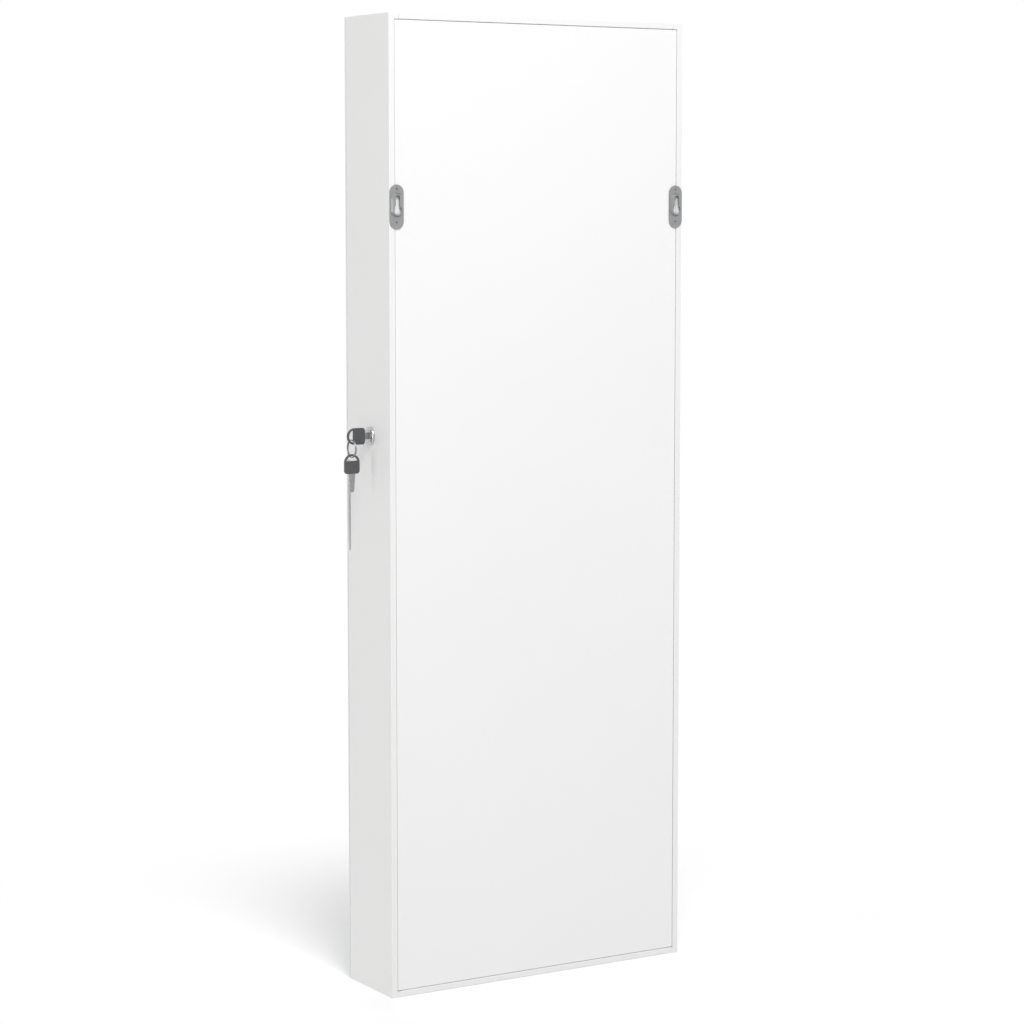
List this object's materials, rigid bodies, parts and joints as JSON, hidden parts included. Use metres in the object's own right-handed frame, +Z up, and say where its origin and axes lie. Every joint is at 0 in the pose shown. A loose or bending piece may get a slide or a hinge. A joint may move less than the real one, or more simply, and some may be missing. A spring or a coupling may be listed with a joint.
{
  "type": "jewelry mirror cabinet",
  "caption": "Wall-hung jewelry cabinet with a full-length mirror door, a side cam lock with keys, shelves, necklace hooks, a padded ring tray, a bracelet bar and earring rails",
  "frame": {"origin": "centre of the cabinet's bottom face, halfway between the boards' back edges and the mirror's face", "axes": "+Z up, -Y out of the mirror's face, +Y towards the wall, +X towards the side with the lock, -X the hinge side"},
  "size_m": [0.407, 0.1057, 1.06],
  "materials": {
    "white_board": "satin white laminate over fibreboard",
    "white_back": "smooth white-faced thin board",
    "dowel_wood": "plain beech",
    "felt": "short grey felt",
    "velvet": "grey velvet",
    "hanger_steel": "zinc-plated, satin",
    "clear_rubber": "translucent soft rubber",
    "hinge_steel": "nickel-plated",
    "hook_chrome": "polished",
    "white_plastic": "moulded white",
    "magnet": "pressed ferrite",
    "pole_steel": "bare steel",
    "lock_chrome": "polished chrome plate",
    "zinc_steel": "zinc-plated",
    "key_steel": "nickel-plated",
    "key_grip": "dark grey moulded",
    "mirror_glass": "silvered float glass, bevelled",
    "clear_pocket": "white acrylic",
    "rail_aluminium": "satin anodised"
  },
  "bodies": {
    "carcass": {"side_panel_lock": "white_board", "side_panel_hinge": "white_board", "top_panel": "white_board", "bottom_panel": "white_board", "back_panel": "white_back", "back_lining": "felt", "carcass_dowels": "dowel_wood", "hanger_plates": "hanger_steel", "hanger_screws": "hanger_steel", "front_bumpers": "clear_rubber", "lower_shelf": "white_board", "middle_shelf": "white_board", "tray_shelf": "white_board", "upper_shelf": "white_board", "bottom_lip": "white_board", "lower_shelf_lip": "white_board", "upper_shelf_lip": "white_board", "bay_divider": "white_board", "necklace_rail": "white_board", "necklace_hooks": "hook_chrome", "necklace_rail_screws": "hinge_steel", "ring_tray": "white_board", "ring_rolls": "velvet", "ring_tray_feet": "white_board", "bracelet_bar": "velvet", "bar_sockets": "white_plastic", "catch_housing": "white_plastic", "catch_magnet": "magnet", "catch_poles": "pole_steel", "fitting_screws": "hinge_steel", "hinge_leaves_carcass": "hinge_steel", "hinge_pins": "hinge_steel", "hinge_screws_carcass": "hinge_steel", "lock_barrel": "lock_chrome", "lock_nut": "zinc_steel"},
    "door": {"door_stile_lock": "white_board", "door_stile_hinge": "white_board", "door_rail_top": "white_board", "door_rail_bottom": "white_board", "door_backing": "white_back", "door_lining": "felt", "mirror": "mirror_glass", "door_pocket": "clear_pocket", "earring_rails": "rail_aluminium", "lock_keeper": "zinc_steel", "keeper_pin": "zinc_steel", "catch_strike": "pole_steel", "door_screws": "hinge_steel", "hinge_leaves_door": "hinge_steel"},
    "plug": {"lock_plug": "lock_chrome", "lock_cam": "zinc_steel", "cam_screw": "zinc_steel"},
    "key": {"key_blade": "key_steel", "key_bow": "key_grip"},
    "ring": {"split_ring": "key_steel"},
    "spare_key": {"spare_key_blade": "key_steel", "spare_key_bow": "key_grip"}
  },
  "joints": [
    {"name": "door_swing", "type": "hinge", "parent": "carcass", "child": "door", "pos_m": [-0.1744, -0.0497, 0.53], "axis": [0, 0, -1], "range_deg": [0, 180]},
    {"name": "lock_turn", "type": "hinge", "parent": "carcass", "child": "plug", "pos_m": [0.1875, 0.006, 0.61], "axis": [-1, 0, 0], "range_deg": [0, 90]},
    {"name": "key_pull", "type": "slide", "parent": "plug", "child": "key", "axis": [1, 0, 0], "range_m": [0, 0.0155]},
    {"name": "ring_hang", "type": "hinge", "parent": "key", "child": "ring", "pos_m": [0.2105, 0.006, 0.60305], "axis": [-1, 0, 0], "range_deg": [-90, 0]},
    {"name": "spare_key_swing", "type": "hinge", "parent": "ring", "child": "spare_key", "pos_m": [0.2105, 0.006, 0.58757], "axis": [0, -1, 0], "range_deg": [-20, 70]}
  ],
  "couplings": [
    {"joint": "ring_hang", "follows": "lock_turn", "ratio": -1}
  ]
}
